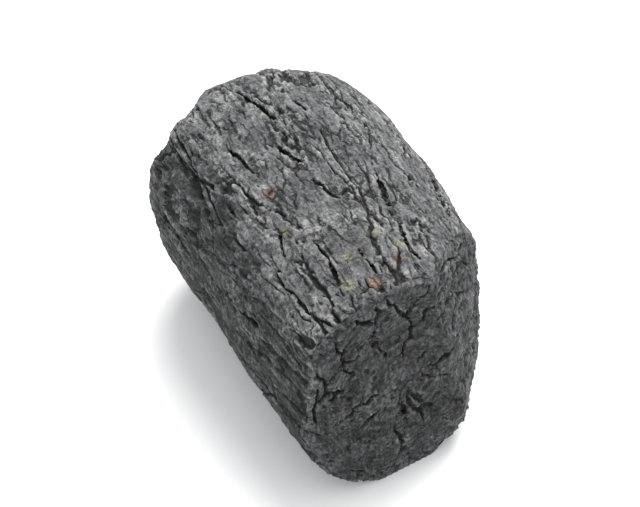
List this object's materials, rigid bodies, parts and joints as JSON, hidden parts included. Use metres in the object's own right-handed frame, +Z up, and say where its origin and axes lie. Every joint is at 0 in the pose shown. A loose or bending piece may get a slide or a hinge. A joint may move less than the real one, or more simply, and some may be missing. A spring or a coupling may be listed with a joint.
{
  "type": "charcoal lump",
  "caption": "Short, thick length of a charred branch with cracked bark, broken at both ends and lying on its side.",
  "frame": {"origin": "under the middle of the lump's length and width, on the face it rests on", "axes": "+X along the grain towards the end broken straight across, +Z up"},
  "size_m": [0.127, 0.0794, 0.0771],
  "materials": {
    "charcoal": "dull, dry and porous charcoal"
  },
  "bodies": {
    "root": {"charcoal_lump": "charcoal"}
  },
  "joints": []
}
